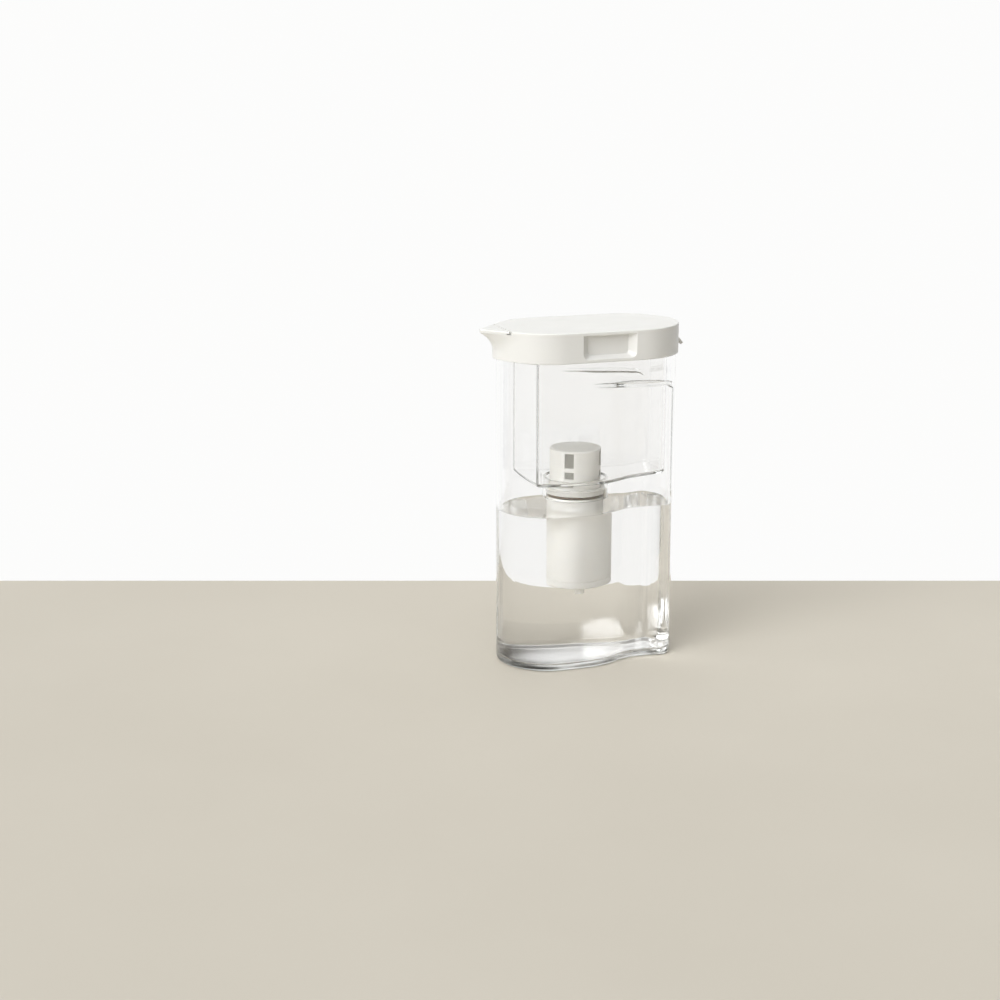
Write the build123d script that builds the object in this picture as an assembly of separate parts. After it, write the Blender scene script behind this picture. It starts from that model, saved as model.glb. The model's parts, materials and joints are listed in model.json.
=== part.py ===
from build123d import *
import os
from math import acos, atan2, cos, degrees, hypot, radians, sin, sqrt, tan

# Water filter pitcher. X runs from the spout (-) to the grip (+), Z is up, and the origin is
# the centre of the jug's underside. All lengths are in millimetres and angles in degrees.

# Jug: a long outline with round ends
jug_half_length = 75.4
jug_end_radius = 42.3
jug_wall = 3.0
jug_floor = 4.5
jug_rim_z = 257.0
jug_foot_round = 2.5
jug_hollow_round = 4.0
jug_rim_round = 0.8

# Grip: below the shoulder both sides sweep in to a waist and out again to the rear corners
sweep_length = 53.0
sweep_in_radius = 63.0
waist_set = 37.4
waist_half_width = 27.3
waist_rear_radius = 90.0
rear_corner_radius = 10.0
shoulder_drop = 23.0
shoulder_fall = 2.3
shoulder_round = 14.0
shoulder_lip_round = 1.6
shoulder_nook_round = 0.8

# Collar: the ring that sits on the jug's rim and carries the hopper, the spout and the lid
rim_clearance = 0.3
collar_wall = 1.6
collar_lap = 1.5
collar_height = 21.7
collar_foot_round = 0.5
skirt_gap = 1.2
skirt_wall = 1.8
skirt_drop = 2.5
deck_thickness = 2.0
deck_drop = 5.2
rim_stop_width = 1.6
rear_stop_count = 6
rear_stop_arc = 150.0
front_stop_turn = 100.0

# Spout: a beak that flares out of the collar's front end
spout_root_drop = 14.2
spout_root_out = 4.2
spout_root_radius = 25.0
spout_mid_drop = 6.4
spout_mid_out = 8.2
spout_mid_radius = 13.0
spout_out = 16.1
spout_tip_radius = 2.5
spout_floor = 2.0
weir_thickness = 1.8

# Finger pockets, one on each long side, open under the lid's edge
pocket_x = 3.3
pocket_mouth_width = 45.8
pocket_floor_width = 34.6
pocket_depth = 5.2
pocket_mouth_rise = 2.4
pocket_floor_rise = 5.3
pocket_mouth_round = 5.0
pocket_floor_round = 3.0
pocket_wall = 1.6

# Lifting lug: a short tongue at the collar's rear end that slants down
lug_width = 16.0
lug_thickness = 2.2
lug_set = 12.2
lug_straight = 0.9
lug_bend_radius = 2.5
lug_bend = 50.0
lug_tail = 4.6

# Lid plate, flap and hinge
lid_thickness = 2.8
lid_edge_round = 0.9
plug_entry = 5.5
plug_wall = 1.6
plug_clearance = 0.8
flap_thickness = 1.9
hinge_set = 1.8
knuckle_radius = 1.3
knuckle_gap = 0.25
notch_depth = 5.5
ear_length = 4.5
ear_gap = 0.3
pin_radius = 0.6
pin_clearance = 0.05
pin_bite = 3.5

# Hopper: the clear inner tank that hangs from the collar's deck
hopper_front_gap = 19.1
hopper_rear_gap = 8.2
hopper_side_gap = 7.15
hopper_waist_gap = 1.8
hopper_wall = 2.2
hopper_depth = 120.0
hopper_floor = 2.2
hopper_floor_slope = 4.5
hopper_taper_lead = 32.0
hopper_taper_tail = 10.0
hopper_front_round = 3.4
hopper_side_round = 25.0
hopper_rear_round = 8.0
hopper_foot_round = 2.8
hopper_hollow_round = 1.0
flange_width = 3.2
flange_thickness = 2.0
deck_clearance = 0.3

# Socket: the tube under the hopper's floor that holds the cartridge
cartridge_x = -9.0
socket_drop = 14.5
socket_wall = 1.8
seat_drop = 7.4
seat_width = 1.2
seat_clearance = 0.3

# Seals
seal_clearance = 0.2
rim_seal_height = 1.3
rim_seal_seat = 0.7
rim_seal_foot = 0.4
lid_seal_height = 2.4
lid_seal_seat = 0.7
lid_seal_foot = 1.4
o_ring_section = 2.2
o_ring_rise = 1.3
o_ring_clearance = 0.05
o_ring_room = 0.1

# Cartridge shell: inlet cap with its windows, strainer, housing and outlet base
cap_radius = 21.25
cap_height = 32.5
cap_wall = 1.8
cap_edge_round = 1.5
window_width = 7.6
window_count = 4
window_turn = -126.0
tall_window_rise = 18.5
tall_window_height = 12.1
short_window_rise = 9.2
short_window_height = 6.0
low_window_rise = 2.4
low_window_height = 3.2
strainer_thickness = 0.6
strainer_gap = 0.2
housing_radius = 23.4
housing_wall = 1.8
cartridge_rim_width = 1.4
cartridge_rim_height = 1.4
head_drop = 10.0
neck_height = 2.2
neck_wall = 1.8
neck_clearance = 0.1
base_height = 5.8
base_spigot = 5.0
base_clearance = 0.1
base_edge_round = 1.6
seam_bevel = 0.5
nozzle_radius = 3.8
nozzle_bore_radius = 2.4
nozzle_length = 8.0

# Cartridge filling, from the top down: pad, carbon, pad, fibre tufts, potting
layer_clearance = 0.1
pad_thickness = 2.5
carbon_depth = 20.0
tuft_length = 28.0
tuft_radius = 6.4
tuft_pitch = 13.4
potting_thickness = 8.0

# Places that follow from the sizes above
jug_centre_x = jug_half_length - jug_end_radius
waist_x = jug_half_length - waist_set
sweep_start_x = waist_x - sweep_length
shoulder_z = jug_rim_z - shoulder_drop
collar_offset = rim_clearance + collar_wall
collar_radius = jug_end_radius + collar_offset
collar_bottom_z = jug_rim_z - collar_lap
collar_top_z = collar_bottom_z + collar_height
spout_reach = jug_half_length + spout_out
deck_z = collar_top_z - deck_drop
deck_bottom_z = deck_z - deck_thickness
skirt_outset = jug_wall + skirt_gap
skirt_inset = skirt_outset + skirt_wall
skirt_bottom_z = jug_rim_z - skirt_drop
rim_seal_z = skirt_bottom_z + rim_seal_foot
lid_top_z = collar_top_z + lid_thickness
flap_bottom_z = lid_top_z - flap_thickness
hinge_x = hinge_set - jug_half_length
hinge_z = lid_top_z - knuckle_radius
lip_rear_x = hinge_x - knuckle_radius - knuckle_gap
lid_front_x = hinge_x + knuckle_radius + knuckle_gap
hopper_top_z = deck_z + flange_thickness
hopper_floor_z = deck_z - hopper_depth
hopper_front_x = jug_wall + hopper_front_gap - jug_half_length
hopper_rear_x = jug_half_length - jug_wall - hopper_rear_gap
hopper_half_width = jug_end_radius - jug_wall - hopper_side_gap
hopper_rear_half = waist_half_width - jug_wall - hopper_waist_gap
weir_rear_x = hopper_front_x - flange_width - 2 * deck_clearance
weir_front_x = weir_rear_x - weir_thickness
plug_inset = hopper_wall + plug_clearance
plug_bottom_z = hopper_top_z - plug_entry
lid_seal_z = plug_bottom_z + lid_seal_foot
seat_z = hopper_floor_z - seat_drop
rim_radius = housing_radius + cartridge_rim_width
upper_bore = rim_radius + seat_clearance
lower_bore = upper_bore - seat_width
socket_radius = upper_bore + socket_wall
socket_bottom_z = hopper_floor_z - socket_drop
o_ring_z = socket_bottom_z + o_ring_rise
o_ring_radius = lower_bore - o_ring_clearance - o_ring_section / 2
cap_bottom_z = seat_z + cartridge_rim_height
cap_top_z = cap_bottom_z + cap_height
cap_bore = cap_radius - cap_wall
neck_radius = cap_bore - neck_clearance
neck_bore = neck_radius - neck_wall
neck_top_z = cap_bottom_z + neck_height
housing_bore = housing_radius - housing_wall
inlet_pad_z = cap_bottom_z - head_drop - pad_thickness
carbon_z = inlet_pad_z - carbon_depth
middle_pad_z = carbon_z - pad_thickness
tuft_z = middle_pad_z - tuft_length
potting_z = tuft_z - potting_thickness
seam_z = potting_z - base_spigot
base_bottom_z = seam_z - base_height
far = 400.0


def prism(face, bottom, top):
    """A flat outline carried straight up from one height to another."""
    return extrude(Pos(0, 0, bottom) * face, top - bottom, dir=(0, 0, 1))


def turned(*points):
    """A profile of (radius, height) points turned about the cartridge's upright axis."""
    profile = Plane.XZ * make_face(Polyline(*points, close=True))
    return Pos(cartridge_x, 0, 0) * revolve(profile, Axis.Z)


def turned_disc(radius, bottom, top):
    """A solid round block on the cartridge's axis."""
    return turned((0, bottom), (radius, bottom), (radius, top), (0, top))


def block(x, y, z):
    """A box between two limits in each direction."""
    spans = [high - low for low, high in (x, y, z)]
    middle = [(low + high) / 2 for low, high in (x, y, z)]
    return Pos(*middle) * Box(*spans)


def cross_slice(x_low, x_high):
    """All that lies between two planes across the pitcher."""
    return block((x_low, x_high), (-far, far), (-far, far))


def both_sides(shape):
    """A shape and its twin on the other side of the pitcher's middle plane."""
    return shape + mirror(shape, Plane.XZ)


def stadium(inset):
    """The jug's upper outline, drawn in by an inset."""
    return SlotOverall(2 * (jug_half_length - inset), 2 * (jug_end_radius - inset))


def grip_turns():
    """The turn into the waist, then the turns of the flank, the rear corner and the rear end."""
    inward = jug_end_radius - waist_half_width
    sweep = 2 * atan2(inward, waist_x - sweep_start_x)
    # The rear corner touches the flank's arc from outside and the end's arc from inside.
    flank_y = waist_half_width + waist_rear_radius
    apart = hypot(waist_x - jug_centre_x, flank_y)
    near_end = jug_end_radius - rear_corner_radius
    near_flank = waist_rear_radius + rear_corner_radius
    along = (near_end**2 - near_flank**2 + apart**2) / (2 * apart)
    aside = sqrt(near_end**2 - along**2)
    to_flank = ((waist_x - jug_centre_x) / apart, flank_y / apart)
    corner_x = jug_centre_x + along * to_flank[0] + aside * to_flank[1]
    corner_y = along * to_flank[1] - aside * to_flank[0]
    flank = atan2(corner_x - waist_x, flank_y - corner_y)
    rear = atan2(corner_y, corner_x - jug_centre_x)
    corner = flank + radians(90) - rear
    return [degrees(a) for a in (sweep, flank, corner, rear)]


def grip_outline(inset):
    """The jug's outline below the shoulder: a round front, a waist and rounded rear corners."""
    sweep, flank_turn, corner_turn, rear_turn = grip_turns()
    both_radii = (waist_x - sweep_start_x) / sin(radians(sweep))
    sweep_out_radius = both_radii - sweep_in_radius
    front = JernArc((inset - jug_half_length, 0), (0, 1), jug_end_radius - inset, -90)
    side = Line(front @ 1, (sweep_start_x, jug_end_radius - inset))
    inward = JernArc(side @ 1, side % 1, sweep_in_radius - inset, -sweep)
    outward = JernArc(inward @ 1, inward % 1, sweep_out_radius + inset, sweep)
    flank = JernArc(outward @ 1, outward % 1, waist_rear_radius + inset, flank_turn)
    corner = JernArc(flank @ 1, flank % 1, rear_corner_radius - inset, -corner_turn)
    rear = JernArc(corner @ 1, corner % 1, jug_end_radius - inset, -rear_turn)
    half = front + side + inward + outward + flank + corner + rear
    return make_face(half + mirror(half, Plane.XZ))


def above_shoulder(inset):
    """All that lies over the grip's ceiling, which slopes and then bends down at the rear."""
    fall = radians(shoulder_fall)
    # The bend stands upright where the rear corner runs into the end's arc.
    rear_x = jug_centre_x + jug_end_radius * cos(radians(grip_turns()[3]))
    bend_x = rear_x - shoulder_round * (1 - sin(fall)) + inset * sin(fall)
    lifted_z = shoulder_z + inset / cos(fall)
    ceiling = Line((-far, lifted_z + far * tan(fall)), (bend_x, lifted_z - bend_x * tan(fall)))
    bend = JernArc(ceiling @ 1, ceiling % 1, shoulder_round + inset, shoulder_fall - 90)
    foot = [((bend @ 1).X, -far), (far, -far)]
    rest = Polyline(bend @ 1, *foot, (far, far), (-far, far), ceiling @ 0)
    side_view = Plane.XZ * make_face(ceiling + bend + rest)
    return extrude(side_view, far, both=True)


def jug_block(inset, bottom, top, lip_round):
    """The jug's outer form, or with an inset the form of its hollow."""
    grip = prism(grip_outline(inset), bottom, top)
    upper = prism(stadium(inset), bottom, top) & above_shoulder(inset)
    straight_or_round = (GeomType.LINE, GeomType.CIRCLE)
    lip = [edge for edge in upper.edges() if edge.geom_type not in straight_or_round]
    return grip + fillet(lip, lip_round)


def jug_body():
    outer = jug_block(0, 0, jug_rim_z, shoulder_lip_round)
    outer = fillet(outer.edges().group_by(Axis.Z)[0], jug_foot_round)
    hollow = jug_block(jug_wall, jug_floor, far, shoulder_nook_round)
    hollow = fillet(hollow.edges().group_by(Axis.Z)[0], jug_hollow_round)
    jug = outer - hollow
    return fillet(jug.edges().group_by(Axis.Z)[-1], jug_rim_round)


def beak_angle(reach, tip_radius):
    """How far round from the front the beak's flanks touch both of its arcs."""
    return degrees(acos((collar_radius - tip_radius) / (reach - tip_radius - jug_centre_x)))


def beak_outline(reach, tip_radius, inset=0):
    """A stadium whose front end runs out on two straight flanks to a round tip."""
    big = collar_radius - inset
    tip = tip_radius - inset
    tip_x = reach - tip_radius
    flank_angle = beak_angle(reach, tip_radius)
    side = Line((jug_centre_x, big), (-jug_centre_x, big))
    shoulder = CenterArc((-jug_centre_x, 0), big, 90, 90 - flank_angle)
    nose = CenterArc((-tip_x, 0), tip, 180 - flank_angle, 2 * flank_angle)
    other_shoulder = CenterArc((-jug_centre_x, 0), big, 180 + flank_angle, 90 - flank_angle)
    other_side = Line((-jug_centre_x, -big), (jug_centre_x, -big))
    rear = CenterArc((jug_centre_x, 0), big, -90, 180)
    flank = Line(shoulder @ 1, nose @ 0)
    other_flank = Line(nose @ 1, other_shoulder @ 0)
    path = [side, shoulder, flank, nose, other_flank, other_shoulder, other_side, rear]
    return make_face(Wire(path))


def collar_block(inset, bottom):
    """The collar's outer form with its flaring spout, or with an inset the space inside it."""
    root_z = collar_top_z - spout_root_drop
    mid_z = collar_top_z - spout_mid_drop
    root = beak_outline(jug_half_length + spout_root_out, spout_root_radius, inset)
    mid = beak_outline(jug_half_length + spout_mid_out, spout_mid_radius, inset)
    tip = beak_outline(spout_reach, spout_tip_radius, inset)
    straight = prism(root, bottom, root_z)
    if not inset:
        straight = fillet(straight.edges().group_by(Axis.Z)[0], collar_foot_round)
    return straight + loft([Pos(0, 0, root_z) * root, Pos(0, 0, mid_z) * mid,
                            Pos(0, 0, collar_top_z) * tip])


def hopper_outline(inset):
    """The hopper's plan: a flat front wall and sides that follow the jug's waist."""
    corners = [
        (hopper_front_x, hopper_half_width),
        (waist_x - hopper_taper_lead, hopper_half_width),
        (waist_x - hopper_taper_tail, hopper_rear_half),
        (hopper_rear_x, hopper_rear_half),
    ]
    corners += [(x, -y) for x, y in reversed(corners)]
    rounds = [hopper_front_round, hopper_side_round, hopper_side_round, hopper_rear_round]
    path = FilletPolyline(*corners, radius=rounds + rounds[::-1], close=True)
    outline = make_face(path)
    if inset:
        outline = offset(outline, -inset, kind=Kind.INTERSECTION)
    return outline


def pocket_forms(grow):
    """Both finger pockets as tapering blocks, or with a growth the shells that close them."""
    mouth_z = collar_bottom_z + pocket_mouth_rise - grow
    floor_z = collar_bottom_z + pocket_floor_rise - grow
    floor_y = collar_radius - pocket_depth - grow
    # The block runs out past the wall along the same slopes.
    mouth_y = collar_radius + pocket_wall
    run = (mouth_y - collar_radius + pocket_depth) / pocket_depth
    mouth_width = pocket_floor_width + (pocket_mouth_width - pocket_floor_width) * run
    mouth_z = floor_z + (mouth_z - floor_z) * run
    top = collar_top_z + pocket_depth
    views = []
    for y, width, z, corner in (
        (mouth_y, mouth_width, mouth_z, pocket_mouth_round),
        (floor_y, pocket_floor_width, floor_z, pocket_floor_round),
    ):
        view = Pos(pocket_x, (z + top) / 2) * RectangleRounded(width + 2 * grow, top - z, corner)
        views.append(Pos(0, y, 0) * (Plane.XZ * view))
    return both_sides(loft(views))


def rim_stops():
    """Ribs across the collar's channel that bear on the jug's rim."""
    rib = block(
        (0, collar_radius),
        (-rim_stop_width / 2, rim_stop_width / 2),
        (jug_rim_z, deck_z),
    )
    step = rear_stop_arc / (rear_stop_count - 1)
    turns = [step * i - rear_stop_arc / 2 for i in range(rear_stop_count)]
    rear = [Pos(jug_centre_x, 0, 0) * Rot(0, 0, turn) * rib for turn in turns]
    front = Pos(-jug_centre_x, 0, 0) * Rot(0, 0, front_stop_turn) * rib
    return Part() + rear + both_sides(front)


def lifting_lug():
    """A short tongue that leaves the collar's rear end and slants down."""
    root_x = jug_half_length
    lug_z = collar_top_z - lug_set
    straight = Line((root_x, lug_z), (root_x + lug_straight, lug_z))
    bend = JernArc(straight @ 1, straight % 1, lug_bend_radius, -lug_bend)
    tail = Line(bend @ 1, (bend @ 1) + (bend % 1) * lug_tail)
    section = Pos(root_x, 0, lug_z) * (Plane.YZ * Rectangle(lug_width, lug_thickness))
    return sweep(section, Plane.XZ * (straight + bend + tail))


def collar():
    """The collar in one moulding, from the jug's rim up to the lid."""
    behind_weir = cross_slice(weir_rear_x, far)
    before_weir = cross_slice(-far, weir_front_x)
    pocket_shells = pocket_forms(pocket_wall)
    # Outer form, the lip under the flap, and the lug
    body = collar_block(0, collar_bottom_z) + lifting_lug()
    lip = prism(beak_outline(spout_reach, spout_tip_radius), collar_top_z, flap_bottom_z)
    body += lip & cross_slice(-far, lip_rear_x)
    # Channel over the jug's rim, carried up to the deck behind the weir between the ribs
    channel = stadium(-rim_clearance) - stadium(skirt_outset)
    body -= prism(channel, -far, jug_rim_z)
    relief = prism(channel, jug_rim_z, deck_bottom_z) & behind_weir
    body -= relief - pocket_shells - rim_stops()
    # Space under the deck, and the tray over it, which the pockets' shells cross
    body -= prism(stadium(skirt_inset), -far, deck_bottom_z) & behind_weir
    tray = prism(stadium(-rim_clearance), deck_z, far) & behind_weir
    body -= tray - pocket_shells
    body -= prism(hopper_outline(-deck_clearance), -far, far)
    # Well in front of the weir, and the spout's trough
    body -= prism(stadium(skirt_inset), -far, far) & before_weir
    trough = collar_block(collar_wall, jug_rim_z + spout_floor)
    trough += prism(beak_outline(spout_reach, spout_tip_radius, collar_wall), collar_top_z, far)
    body -= trough & before_weir
    body -= pocket_forms(0)
    # Skirt that hangs inside the jug, with a seat for the seal
    body += prism(stadium(skirt_outset) - stadium(skirt_inset), skirt_bottom_z, collar_bottom_z)
    seat = stadium(0) - stadium(skirt_outset + rim_seal_seat)
    return body - prism(seat, rim_seal_z, rim_seal_z + rim_seal_height)


def rim_seal():
    """Soft ring in the skirt's seat that wipes the jug's inner wall."""
    ring = stadium(jug_wall + seal_clearance) - stadium(skirt_outset + rim_seal_seat)
    return prism(ring, rim_seal_z, rim_seal_z + rim_seal_height)


def hopper_form(inset, lift, floor_round):
    """The tank's form: its plan over a shallow cone that drains towards the socket."""
    low = hopper_floor_z + lift
    high = low + (far - socket_radius) * tan(radians(hopper_floor_slope))
    cone = turned((0, low), (socket_radius, low), (far, high), (far, far), (0, far))
    form = prism(hopper_outline(inset), hopper_floor_z, hopper_top_z) & cone
    floor = form.faces().filter_by(GeomType.CONE)[0]
    straight_or_round = (GeomType.LINE, GeomType.CIRCLE)
    foot = [edge for edge in floor.edges() if edge.geom_type not in straight_or_round]
    return fillet(foot, floor_round)


def hopper():
    tank = hopper_form(0, 0, hopper_foot_round)
    flange = offset(hopper_outline(0), flange_width, kind=Kind.INTERSECTION)
    tank += prism(flange, deck_z, hopper_top_z)
    tank += turned_disc(socket_radius, socket_bottom_z, hopper_floor_z + hopper_floor)
    tank -= hopper_form(hopper_wall, hopper_floor, hopper_hollow_round)
    bore = turned_disc(lower_bore, -far, seat_z)
    return tank - bore - turned_disc(upper_bore, seat_z, far)


def lid_outline():
    """The plan of the plate and the flap together."""
    return beak_outline(spout_reach, spout_tip_radius)


def hinge_stations():
    """Where the flap's middle knuckle ends and where the lid plate's ears start."""
    angle = radians(beak_angle(spout_reach, spout_tip_radius))
    flank_y = (collar_radius + cos(angle) * (hinge_x + jug_centre_x)) / sin(angle)
    knuckle_y = flank_y - notch_depth - ear_length - ear_gap
    return knuckle_y, knuckle_y + ear_gap


def hinge_bars(radius, y_low, y_high):
    """A round bar on the hinge line from one Y to another, and its twin."""
    bar = Pos(hinge_x, (y_low + y_high) / 2, hinge_z) * Rot(90, 0, 0)
    return both_sides(bar * Cylinder(radius, y_high - y_low))


def lid_plate():
    """Flat plate with the plug that enters the hopper and two ears that hold the pin."""
    plate = prism(lid_outline(), collar_top_z, lid_top_z)
    plate = fillet(plate.edges().group_by(Axis.Z)[-1], lid_edge_round)
    plate &= cross_slice(lid_front_x, far)
    plug = hopper_outline(plug_inset) - hopper_outline(plug_inset + plug_wall)
    plate += prism(plug, plug_bottom_z, collar_top_z)
    seat = hopper_outline(0) - hopper_outline(plug_inset + lid_seal_seat)
    plate -= prism(seat, lid_seal_z, lid_seal_z + lid_seal_height)
    ear_y = hinge_stations()[1]
    arm = block(
        (hinge_x, lid_front_x + knuckle_radius),
        (ear_y, ear_y + ear_length),
        (hinge_z - knuckle_radius, lid_top_z),
    )
    plate += both_sides(arm) + hinge_bars(knuckle_radius, ear_y, ear_y + ear_length)
    return plate - flap_pin()


def lid_seal():
    """Soft ring in the plug's seat that wipes the hopper's mouth."""
    ring = hopper_outline(hopper_wall + seal_clearance)
    ring -= hopper_outline(plug_inset + lid_seal_seat)
    return prism(ring, lid_seal_z, lid_seal_z + lid_seal_height)


def flap_pin():
    """The hinge pin, which ends inside the plate's ears."""
    return hinge_bars(pin_radius, 0, hinge_stations()[1] + pin_bite)


def spout_flap():
    """The lid's front piece, with the middle knuckle and cut back round the plate's ears."""
    flap = prism(lid_outline(), flap_bottom_z, lid_top_z)
    flap = fillet(flap.edges().group_by(Axis.Z)[-1], lid_edge_round)
    flap &= cross_slice(-far, hinge_x)
    knuckle_y, ear_y = hinge_stations()
    flap += hinge_bars(knuckle_radius, 0, knuckle_y)
    ear_room = block(
        (hinge_x - knuckle_radius - ear_gap, far),
        (knuckle_y, ear_y + ear_length + ear_gap),
        (-far, far),
    )
    bore = hinge_bars(pin_radius + pin_clearance, 0, ear_y)
    return flap - both_sides(ear_room) - bore


def cartridge_cap():
    """Inlet cap with columns of windows round its wall."""
    cap = turned_disc(cap_radius, cap_bottom_z, cap_top_z)
    cap = fillet(cap.edges().group_by(Axis.Z)[-1], cap_edge_round)
    cap -= turned_disc(cap_bore, -far, cap_top_z - cap_wall)
    column = Part() + [
        block(
            (cap_bore - cap_wall, cap_radius + cap_wall),
            (-window_width / 2, window_width / 2),
            (cap_bottom_z + rise, cap_bottom_z + rise + height),
        )
        for rise, height in (
            (tall_window_rise, tall_window_height),
            (short_window_rise, short_window_height),
            (low_window_rise, low_window_height),
        )
    ]
    turns = [window_turn + 360 / window_count * i for i in range(window_count)]
    return cap - [Pos(cartridge_x, 0, 0) * Rot(0, 0, turn) * column for turn in turns]


def inlet_strainer():
    """Mesh sleeve behind the windows."""
    outer = cap_bore - strainer_gap
    sleeve = turned_disc(outer, neck_top_z, cap_top_z - cap_wall)
    return sleeve - turned_disc(outer - strainer_thickness, -far, far)


def cartridge_housing():
    """Barrel with a thick head, a groove for the O-ring, the rim that seats, and the neck."""
    head_z = cap_bottom_z - head_drop
    groove_bottom = o_ring_radius - o_ring_section / 2
    groove_low = o_ring_z - o_ring_room
    groove_high = o_ring_z + o_ring_section + o_ring_room
    return turned(
        (housing_bore, seam_z),
        (housing_radius - seam_bevel, seam_z),
        (housing_radius, seam_z + seam_bevel),
        (housing_radius, groove_low),
        (groove_bottom, groove_low),
        (groove_bottom, groove_high),
        (housing_radius, groove_high),
        (housing_radius, seat_z),
        (rim_radius, seat_z),
        (rim_radius, cap_bottom_z),
        (neck_radius, cap_bottom_z),
        (neck_radius, neck_top_z),
        (neck_bore, neck_top_z),
        (neck_bore, head_z),
        (housing_bore, head_z),
    )


def cartridge_o_ring():
    """Ring in the housing's groove that seals against the socket."""
    middle = (o_ring_radius, o_ring_z + o_ring_section / 2)
    section = Plane.XZ * (Pos(*middle) * Circle(o_ring_section / 2))
    return Pos(cartridge_x, 0, 0) * revolve(section, Axis.Z)


def filter_layer(bottom, thickness):
    """A disc that fills the housing's bore."""
    return turned_disc(housing_bore - layer_clearance, bottom, bottom + thickness)


def inlet_pad():
    return filter_layer(inlet_pad_z, pad_thickness)


def carbon_bed():
    return filter_layer(carbon_z, carbon_depth)


def middle_pad():
    return filter_layer(middle_pad_z, pad_thickness)


def fibre_bundle():
    """Close-packed tufts of hollow fibre that stand on the potting."""
    reach = housing_bore - layer_clearance - tuft_radius
    rows = int(reach / (tuft_pitch * sin(radians(60))))
    steps = int(reach / tuft_pitch)
    tuft = Pos(cartridge_x, 0, tuft_z + tuft_length / 2) * Cylinder(tuft_radius, tuft_length)
    tufts = []
    for row in range(-rows, rows + 1):
        y = row * tuft_pitch * sin(radians(60))
        for step in range(-steps - 1, steps + 1):
            x = (step + row % 2 / 2) * tuft_pitch
            if hypot(x, y) <= reach:
                tufts.append(Pos(x, y, 0) * tuft)
    return Part() + tufts


def potting_disc():
    """Resin that holds the fibres' open ends."""
    return filter_layer(potting_z, potting_thickness)


def cartridge_base():
    """Outlet cup as wide as the housing, with a spigot in its bore and a short nozzle."""
    spigot = housing_bore - base_clearance
    inner_floor_z = base_bottom_z + housing_wall
    nozzle_tip_z = base_bottom_z - nozzle_length
    cup = turned_disc(housing_radius, base_bottom_z, seam_z)
    cup = fillet(cup.edges().group_by(Axis.Z)[0], base_edge_round)
    cup = chamfer(cup.edges().group_by(Axis.Z)[-1], seam_bevel)
    cup += turned_disc(spigot, inner_floor_z, potting_z)
    cup -= turned_disc(spigot - housing_wall, inner_floor_z, potting_z)
    cup += turned_disc(nozzle_radius, nozzle_tip_z, inner_floor_z)
    return cup - turned_disc(nozzle_bore_radius, nozzle_tip_z, inner_floor_z)


pieces = [
    jug_body, collar, rim_seal, hopper, lid_plate, lid_seal, flap_pin, spout_flap,
    cartridge_cap, inlet_strainer, cartridge_housing, cartridge_o_ring, inlet_pad, carbon_bed,
    middle_pad, fibre_bundle, potting_disc, cartridge_base,
]

os.makedirs("parts", exist_ok=True)
for piece in pieces:
    export_step(piece(), f"parts/{piece.__name__}.step")
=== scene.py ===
import json
from math import cos, exp, pi, radians, sin

import bmesh
import bpy
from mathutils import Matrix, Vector


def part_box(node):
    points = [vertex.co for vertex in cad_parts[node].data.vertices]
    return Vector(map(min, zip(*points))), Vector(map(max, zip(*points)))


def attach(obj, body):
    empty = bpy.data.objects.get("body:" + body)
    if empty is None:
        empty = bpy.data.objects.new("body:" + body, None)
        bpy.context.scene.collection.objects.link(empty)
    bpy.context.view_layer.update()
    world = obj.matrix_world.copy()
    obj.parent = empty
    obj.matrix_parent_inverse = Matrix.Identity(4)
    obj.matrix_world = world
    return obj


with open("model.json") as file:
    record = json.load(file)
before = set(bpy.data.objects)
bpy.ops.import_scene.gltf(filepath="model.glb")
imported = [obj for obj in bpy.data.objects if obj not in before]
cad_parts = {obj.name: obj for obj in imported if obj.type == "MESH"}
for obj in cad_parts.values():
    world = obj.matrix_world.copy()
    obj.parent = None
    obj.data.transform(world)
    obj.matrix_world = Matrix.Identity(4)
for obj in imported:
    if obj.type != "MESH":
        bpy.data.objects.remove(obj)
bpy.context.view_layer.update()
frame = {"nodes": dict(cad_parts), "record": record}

nodes = frame["nodes"]
scene = bpy.context.scene

# Camera: where the photograph was taken from, in metres from the centre of the jug's underside
camera_place = (-0.5760, -1.4772, 0.5288)
camera_forward = (0.3119, 0.9185, -0.2429)
camera_lens = 70.84
camera_sensor = 36.0
camera_near = 0.01
camera_far = 1000.0

# Water: filled to this height, with a meniscus at the wall that is drawn over some times its reach.
# The water laps into the plastic a little, so that no film of air is left between the two.
water_level = 0.1284
water_lap = 0.0003
meniscus_height = 0.0011
meniscus_reach = 0.0027
meniscus_extent = 2.5 * meniscus_reach
meniscus_steps = 7

# The jug's hollow that the water fills: its floor above the foot and the rounding round that floor
hollow_floor = 0.0045
hollow_round = 0.004
hollow_round_steps = 6

# Outlines: points that lie closer than this are one, and a growing corner reaches out at most as
# if the cosine of half its turn were this
same_point = 1e-6
least_corner_cosine = 0.5

# Floor: pale and warm, and it ends a little way behind the pitcher, as a table does
floor_reach = 400.0
floor_behind = 0.2125
floor_drop = 0.0002
floor_shades = ((0.555, 0.52, 0.45), (0.575, 0.54, 0.47))

# Light of the surround: white behind the pitcher and all round up to just over the horizon, faint
# at the camera's left and fainter at its right, a soft box over the pitcher, and a soft key box at
# the front left. A spread gives how far a direction points to a box where its light starts and is
# full, as a cosine, and low_spread how far up a direction points where the horizon's white ends.
# The key box is turned from the pitcher's side towards the spout, and raised, by these degrees.
back_light = (0.975, 0.975, 0.97)
back_spread = (0.80, 0.95)
low_spread = (0.06, 0.10)
left_light = (0.30, 0.29, 0.26)
right_light = (0.01, 0.008, 0.005)
side_spread = (-0.8, 0.8)
top_light = (2.55, 2.55, 2.55)
top_spread = (0.80, 0.94)
key_light = (5.5, 5.5, 5.48)
key_spread = (0.88, 0.97)
key_turn = 56.0
key_rise = 30.0

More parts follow.
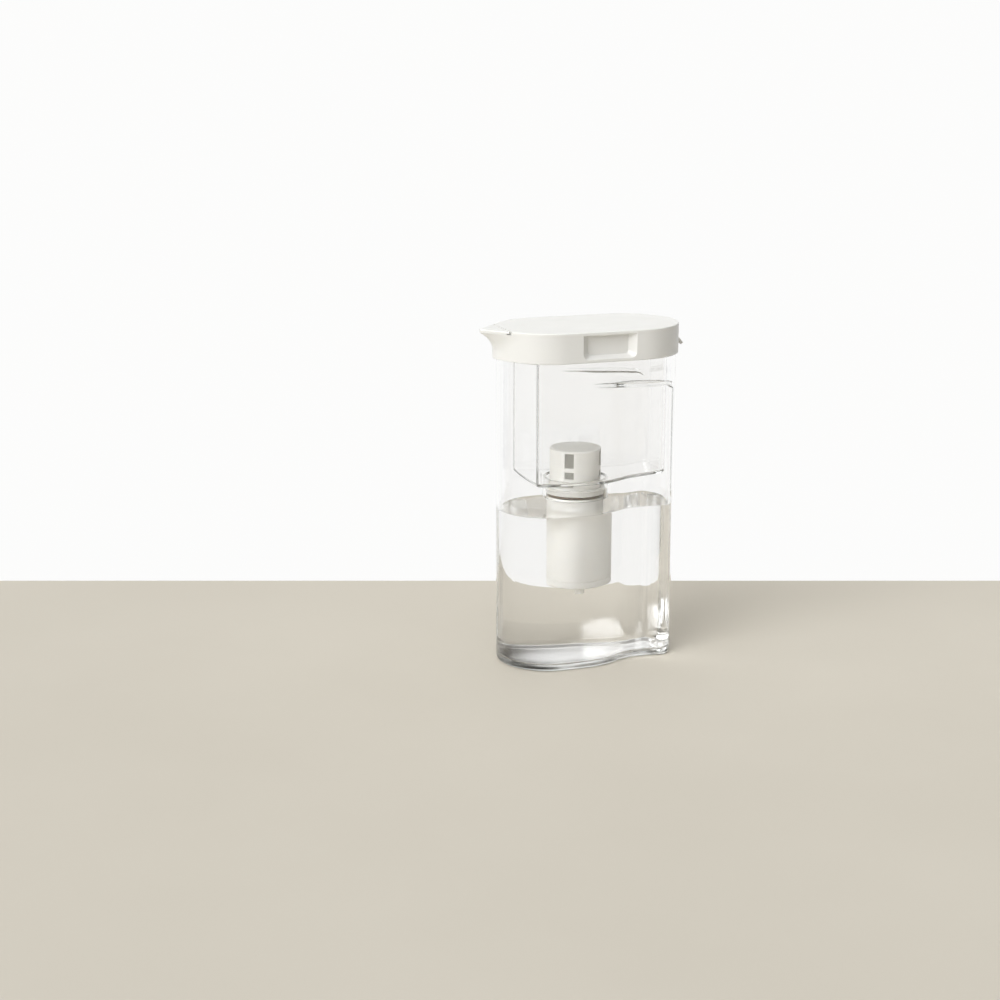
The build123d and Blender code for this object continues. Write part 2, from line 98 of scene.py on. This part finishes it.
# Light paths: the clear walls and the water bend a path many times before it ends
clear_bounces = 64
diffuse_bounces = 8

# Looks: where a noise's values mostly lie, how strongly the clear pieces bend light, the colour
# that clear plastic leaves of it and how densely it takes the rest, and how far apart the
# strainer's threads are
noise_low = 0.3
noise_high = 0.7
plastic_ior = 1.49
water_ior = 1.333
clear_through = (0.80, 0.86, 0.86)
clear_density = 3.0
white = (1.0, 1.0, 1.0, 1.0)
mesh_pitch = 0.0007

# White plastics: two shades, a range of roughness and the weight of the light inside
satin_looks = {
    "white_shell": ((0.77, 0.77, 0.75), (0.79, 0.79, 0.775), (0.34, 0.46), 0.1),
    "white_lid": ((0.79, 0.79, 0.765), (0.81, 0.81, 0.79), (0.36, 0.48), 0.1),
    "cartridge_white": ((0.85, 0.85, 0.83), (0.88, 0.88, 0.865), (0.4, 0.55), 0.15),
}

up = Vector((0, 0, 1))
ahead = Vector((camera_forward[0], camera_forward[1], 0)).normalized()
left = Vector((-ahead.y, ahead.x, 0))


# Camera and pieces

def make_camera():
    data = bpy.data.cameras.new("camera")
    data.lens = camera_lens
    data.sensor_width = camera_sensor
    data.clip_start = camera_near
    data.clip_end = camera_far
    camera = bpy.data.objects.new("camera", data)
    scene.collection.objects.link(camera)
    camera.location = camera_place
    camera.rotation_mode = "QUATERNION"
    camera.rotation_quaternion = Vector(camera_forward).to_track_quat("-Z", "Y")
    scene.camera = camera


def shown(mesh, material):
    """A piece that shows a mesh in a material, under the mesh's name."""
    mesh.materials.append(material)
    piece = bpy.data.objects.new(mesh.name, mesh)
    scene.collection.objects.link(piece)
    return piece


# Node helpers

class Nodes:
    """The node tree of a material or world, with short calls to add nodes and join them."""

    def __init__(self, owner, output, coordinates):
        owner.use_nodes = True
        self.owner = owner
        self.tree = owner.node_tree
        self.tree.nodes.clear()
        self.output = self.add(output)
        self.coordinates = self.add("TexCoord").outputs[coordinates]

    def add(self, kind, inputs=None, **settings):
        node = self.tree.nodes.new("ShaderNode" + kind)
        for key, value in settings.items():
            setattr(node, key, value)
        for key, value in (inputs or {}).items():
            socket = node.inputs[key]
            if isinstance(value, bpy.types.NodeSocket):
                self.tree.links.new(value, socket)
            else:
                socket.default_value = value
        return node

    def math(self, operation, first, second=0.0):
        return self.add("Math", {0: first, 1: second}, operation=operation).outputs[0]

    def noise(self, scale, detail=3.0, stretch=(1, 1, 1)):
        place = self.add("Mapping", {"Vector": self.coordinates, "Scale": stretch})
        vector = place.outputs["Vector"]
        noise = self.add("TexNoise", {"Vector": vector, "Scale": scale, "Detail": detail})
        return noise.outputs["Fac"]

    def cells(self, scale):
        """How far each place is from the middle of its cell."""
        inputs = {"Vector": self.coordinates, "Scale": scale}
        return self.add("TexVoronoi", inputs).outputs["Distance"]

    def spread(self, value, start, end, low=0.0, high=1.0, **settings):
        """A number that goes from low to high as the value goes from start to end."""
        inputs = {"Value": value, "From Min": start, "From Max": end, "To Min": low, "To Max": high}
        return self.add("MapRange", inputs, **settings).outputs["Result"]

    def between(self, noise, low, high):
        """A number that goes from low to high over a noise's values."""
        return self.spread(noise, noise_low, noise_high, low, high)

    def shades(self, noise, low, high):
        """A colour that goes from low to high over a noise's values."""
        ramp = self.add("ValToRGB", {"Fac": noise})
        ends = zip(ramp.color_ramp.elements, (noise_low, noise_high), (low, high))
        for element, position, colour in ends:
            element.position = position
            element.color = (*colour, 1.0)
        return ramp.outputs["Color"]

    def bump(self, height, distance, strength=1.0, under=None):
        inputs = {"Height": height, "Distance": distance, "Strength": strength}
        if under:
            inputs["Normal"] = under
        return self.add("Bump", inputs).outputs["Normal"]

    def end(self, socket, shader):
        self.tree.links.new(shader.outputs[0], self.output.inputs[socket])

    def surface(self, inputs):
        self.end("Surface", self.add("BsdfPrincipled", inputs))
        return self.owner

    def facing(self, direction):
        """How far each direction points along a given one, from -1 to 1."""
        inputs = {0: self.coordinates, 1: direction}
        return self.add("VectorMath", inputs, operation="DOT_PRODUCT").outputs["Value"]

    def light(self, direction, spread, around, full):
        """Light that goes smoothly from what is around a direction to its full colour there."""
        share = self.spread(self.facing(direction), *spread, interpolation_type="SMOOTHSTEP")
        mixed = self.add("MixRGB", {"Fac": share, "Color1": around, "Color2": full})
        return mixed.outputs["Color"]


def material_nodes(name):
    return Nodes(bpy.data.materials.new(name), "OutputMaterial", "Object")


# Materials

def clear_plastic(name):
    """Clear moulded plastic: polished, with the faint waves that moulding leaves."""
    n = material_nodes(name)
    through = {"Color": (*clear_through, 1.0), "Density": clear_density}
    n.end("Volume", n.add("VolumeAbsorption", through))
    return n.surface({
        "Base Color": white,
        "Transmission Weight": 1.0,
        "IOR": plastic_ior,
        "Roughness": n.between(n.noise(35.0), 0.0, 0.02),
        "Normal": n.bump(n.noise(22.0, 1.0, (1, 1, 0.35)), 0.0004, 0.25),
    })


def clear_water(name):
    """Clear water that is barely astir."""
    n = material_nodes(name)
    return n.surface({
        "Base Color": white,
        "Transmission Weight": 1.0,
        "IOR": water_ior,
        "Roughness": 0.0,
        "Normal": n.bump(n.noise(14.0, 1.0), 0.0003, 0.2),
    })


def satin_plastic(name):
    """White moulded plastic with a fine spark-eroded grain and rounded edges."""
    low, high, rough, inside = satin_looks[name]
    n = material_nodes(name)
    rounded = n.add("Bevel", {"Radius": 0.0004}).outputs["Normal"]
    grain = n.bump(n.noise(2600.0, 2.0), 0.00003, 0.5, rounded)
    flow = n.bump(n.noise(18.0, 1.0), 0.0005, 0.12, grain)
    return n.surface({
        "Base Color": n.shades(n.noise(9.0, 2.0), low, high),
        "Roughness": n.between(n.noise(60.0), *rough),
        "Subsurface Weight": inside,
        "Subsurface Radius": (1.0, 0.95, 0.85),
        "Subsurface Scale": 0.002,
        "Normal": flow,
    })


def mesh_sleeve(name):
    """Woven filter mesh: threads round and up the sleeve."""
    low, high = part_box("inlet_strainer")
    radius = (high.x - low.x) / 2
    axis = (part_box("cartridge_cap")[0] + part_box("cartridge_cap")[1]) / 2
    n = material_nodes(name)
    place = n.add("SeparateXYZ", {"Vector": n.coordinates})
    across = n.math("SUBTRACT", place.outputs["X"], axis.x)
    turn = n.math("ARCTAN2", place.outputs["Y"], across)
    around = n.math("SINE", n.math("MULTIPLY", turn, 2 * pi * radius / mesh_pitch))
    rising = n.math("SINE", n.math("MULTIPLY", place.outputs["Z"], 2 * pi / mesh_pitch))
    height = n.spread(n.math("MAXIMUM", around, rising), -1.0, 1.0)
    return n.surface({
        "Base Color": n.shades(height, (0.16, 0.16, 0.15), (0.40, 0.40, 0.37)),
        "Roughness": n.between(n.noise(300.0), 0.5, 0.8),
        "Normal": n.bump(height, 0.0002, 0.8),
    })


def soft_silicone(name):
    """Whitish silicone, a little see-through at its edges."""
    n = material_nodes(name)
    return n.surface({
        "Base Color": n.shades(n.noise(120.0), (0.70, 0.70, 0.67), (0.80, 0.80, 0.77)),
        "Roughness": n.between(n.noise(400.0), 0.45, 0.65),
        "Subsurface Weight": 0.3,
        "Subsurface Radius": (1.0, 1.0, 0.9),
        "Subsurface Scale": 0.001,
        "Normal": n.bump(n.noise(1500.0), 0.00002, 0.5),
    })


def ring_rubber(name):
    """Dark brown rubber, damp and rather smooth."""
    n = material_nodes(name)
    return n.surface({
        "Base Color": n.shades(n.noise(260.0), (0.075, 0.052, 0.028), (0.12, 0.085, 0.05)),
        "Roughness": n.between(n.noise(500.0), 0.25, 0.45),
        "Normal": n.bump(n.noise(1800.0), 0.00002, 0.6),
    })


def drawn_steel(name):
    """Steel wire with the lines that drawing leaves along it."""
    n = material_nodes(name)
    lines = n.noise(1500.0, 2.0, (1, 0.02, 1))
    return n.surface({
        "Base Color": n.shades(lines, (0.50, 0.50, 0.49), (0.66, 0.66, 0.64)),
        "Metallic": 1.0,
        "Roughness": n.between(lines, 0.22, 0.38),
        "Normal": n.bump(lines, 0.00002, 0.5),
    })


def fleece(name):
    """Felted white non-woven."""
    n = material_nodes(name)
    fibres = n.noise(700.0, 6.0, (1, 1, 0.3))
    return n.surface({
        "Base Color": n.shades(fibres, (0.62, 0.61, 0.58), (0.88, 0.87, 0.84)),
        "Roughness": n.between(fibres, 0.8, 1.0),
        "Sheen Weight": 0.3,
        "Normal": n.bump(fibres, 0.0004, 0.9),
    })


def granular_carbon(name):
    """Black grains of about a millimetre."""
    n = material_nodes(name)
    grains = n.cells(900.0)
    return n.surface({
        "Base Color": n.shades(n.noise(800.0), (0.008, 0.008, 0.009), (0.035, 0.034, 0.033)),
        "Roughness": n.between(grains, 0.35, 0.8),
        "Normal": n.bump(n.math("SUBTRACT", 1.0, grains), 0.0006, 1.0),
    })


def hollow_fibres(name):
    """Silky white strands that run up and down."""
    n = material_nodes(name)
    strands = n.noise(1600.0, 4.0, (1, 1, 0.015))
    return n.surface({
        "Base Color": n.shades(strands, (0.66, 0.65, 0.62), (0.90, 0.90, 0.87)),
        "Roughness": n.between(strands, 0.3, 0.6),
        "Sheen Weight": 0.2,
        "Normal": n.bump(strands, 0.0003, 0.9),
    })


def cast_resin(name):
    """Honey-coloured resin with small bubbles."""
    n = material_nodes(name)
    return n.surface({
        "Base Color": n.shades(n.noise(60.0), (0.66, 0.59, 0.42), (0.78, 0.72, 0.56)),
        "Roughness": n.between(n.noise(90.0), 0.12, 0.3),
        "Subsurface Weight": 0.4,
        "Subsurface Radius": (1.0, 0.8, 0.5),
        "Subsurface Scale": 0.002,
        "Normal": n.bump(n.cells(420.0), 0.0001, 0.3),
    })


def plain_floor(name):
    n = material_nodes(name)
    grain = n.noise(900.0, 4.0)
    return n.surface({
        "Base Color": n.shades(n.noise(4.0), *floor_shades),
        "Roughness": n.between(grain, 0.85, 0.95),
        "Normal": n.bump(grain, 0.0002, 0.3),
    })


def dress_nodes():
    """Gives every CAD node the material of its slot."""
    makers = {
        "clear_jug": clear_plastic,
        "clear_hopper": clear_plastic,
        "white_shell": satin_plastic,
        "white_lid": satin_plastic,
        "soft_seal": soft_silicone,
        "pin_steel": drawn_steel,
        "cartridge_white": satin_plastic,
        "strainer_mesh": mesh_sleeve,
        "o_ring_rubber": ring_rubber,
        "pad_fleece": fleece,
        "carbon": granular_carbon,
        "fibre": hollow_fibres,
        "resin": cast_resin,
    }
    looks = {slot: make(slot) for slot, make in makers.items()}
    for part in frame["record"]["subparts"]:
        mesh = nodes[part["node"]].data
        mesh.materials.clear()
        mesh.materials.append(looks[part["material_slot"]])


# Water

def inner_outline(node, height):
    """The inner wall's outline where a level plane cuts a hollow node, as (x, y) points."""
    cut = bmesh.new()
    cut.from_mesh(nodes[node].data)
    geometry = cut.verts[:] + cut.edges[:] + cut.faces[:]
    bmesh.ops.bisect_plane(cut, geom=geometry, plane_co=up * height, plane_no=up,
                           clear_inner=True, clear_outer=True)
    bmesh.ops.remove_doubles(cut, verts=cut.verts[:], dist=same_point)
    loops, unused = [], set(cut.verts)
    while unused:
        here = min(unused, key=lambda v: v.co.x)
        loop = []
        while here:
            unused.discard(here)
            loop.append(here.co.xy.copy())
            beside = [edge.other_vert(here) for edge in here.link_edges]
            here = next((v for v in beside if v in unused), None)
        loops.append(loop)
    cut.free()
    return min(loops, key=lambda loop: max(p.x for p in loop) - min(p.x for p in loop))


def grown(outline, distance):
    """A closed outline moved outwards by a distance, square to its own line."""
    area = sum(a.cross(b) for a, b in zip(outline, outline[1:] + outline[:1]))
    outward = distance if area > 0 else -distance
    moved = []
    for i, here in enumerate(outline):
        before = (here - outline[i - 1]).normalized()
        after = (outline[(i + 1) % len(outline)] - here).normalized()
        along = (before + after).normalized()
        reach = outward / max(along.dot(after), least_corner_cosine)
        moved.append(here + Vector((along.y, -along.x)) * reach)
    return moved


def water_rings():
    """The water's outside from its floor to its middle, as pairs of height and growth.

    Also gives the place in the list of the ring where the water's top meets the wall. A second
    ring just over the rounding keeps the tall wall's smooth shading level.
    """
    foot_z = min(v.co.z for v in nodes["jug_body"].data.vertices)
    corner = hollow_round + water_lap
    rings = []
    for i in range(hollow_round_steps + 1):
        turn = pi / 2 * i / hollow_round_steps
        height = foot_z + hollow_floor - water_lap + corner * (1 - cos(turn))
        rings.append((height, water_lap - corner * (1 - sin(turn))))
    rings.append((rings[-1][0] + water_lap, water_lap))
    contact = len(rings)
    rings.append((water_level + meniscus_height, water_lap))
    for i in range(meniscus_steps + 1):
        inset = meniscus_extent * i / meniscus_steps
        rings.append((water_level + meniscus_height * exp(-inset / meniscus_reach), -inset))
    return rings, contact


def water():
    """The filtered water in the jug, as a solid a hair larger than the jug's hollow."""
    outline = inner_outline("jug_body", water_level / 2)
    rings, contact = water_rings()
    built = bmesh.new()
    rows = []
    for height, growth in rings:
        points = grown(outline, growth)
        rows.append([built.verts.new((p.x, p.y, height)) for p in points])
    count = len(outline)
    for low, high in zip(rows, rows[1:]):
        for i in range(count):
            j = (i + 1) % count
            built.faces.new((low[i], low[j], high[j], high[i]))
    built.faces.new(rows[0][::-1])
    built.faces.new(rows[-1])
    bmesh.ops.recalc_face_normals(built, faces=built.faces[:])
    for face in built.faces:
        face.smooth = True
    for edge in built.edges:
        if all(v in rows[contact] for v in edge.verts):
            edge.smooth = False
    mesh = bpy.data.meshes.new("water")
    built.to_mesh(mesh)
    built.free()
    piece = shown(mesh, clear_water("water"))
    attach(piece, "jug")


# Floor and light

def floor():
    """A wide plain floor that ends behind the pitcher, a hair under the jug's own face."""
    side = -left * floor_reach
    back = ahead * floor_behind - up * floor_drop
    front = back - ahead * floor_reach
    mesh = bpy.data.meshes.new("floor")
    mesh.from_pydata([front - side, front + side, back + side, back - side], [], [(0, 1, 2, 3)])
    piece = shown(mesh, plain_floor("floor"))


def studio():
    """A soft surround: white behind and low all round, with a soft box above and a key box."""
    scene.world = bpy.data.worlds.new("studio")
    n = Nodes(scene.world, "OutputWorld", "Generated")
    turn, rise = radians(key_turn), radians(key_rise)
    key = Vector((-sin(turn) * cos(rise), -cos(turn) * cos(rise), sin(rise)))
    back = (*back_light, 1.0)
    light = n.light(left, side_spread, (*right_light, 1.0), (*left_light, 1.0))
    light = n.light(key, key_spread, light, (*key_light, 1.0))
    light = n.light(ahead, back_spread, light, back)
    light = n.light(up, top_spread, light, (*top_light, 1.0))
    light = n.light(up, low_spread, back, light)
    n.end("Surface", n.add("Background", {"Color": light}))


def render_settings():
    """A plain view, and sharp reflections so that light gets through the clear walls."""
    scene.view_settings.view_transform = "Standard"
    scene.cycles.use_denoising = True
    scene.cycles.blur_glossy = 0.0
    scene.cycles.max_bounces = clear_bounces
    scene.cycles.transmission_bounces = clear_bounces
    scene.cycles.glossy_bounces = clear_bounces
    scene.cycles.diffuse_bounces = diffuse_bounces


make_camera()
dress_nodes()
water()
floor()
studio()
render_settings()
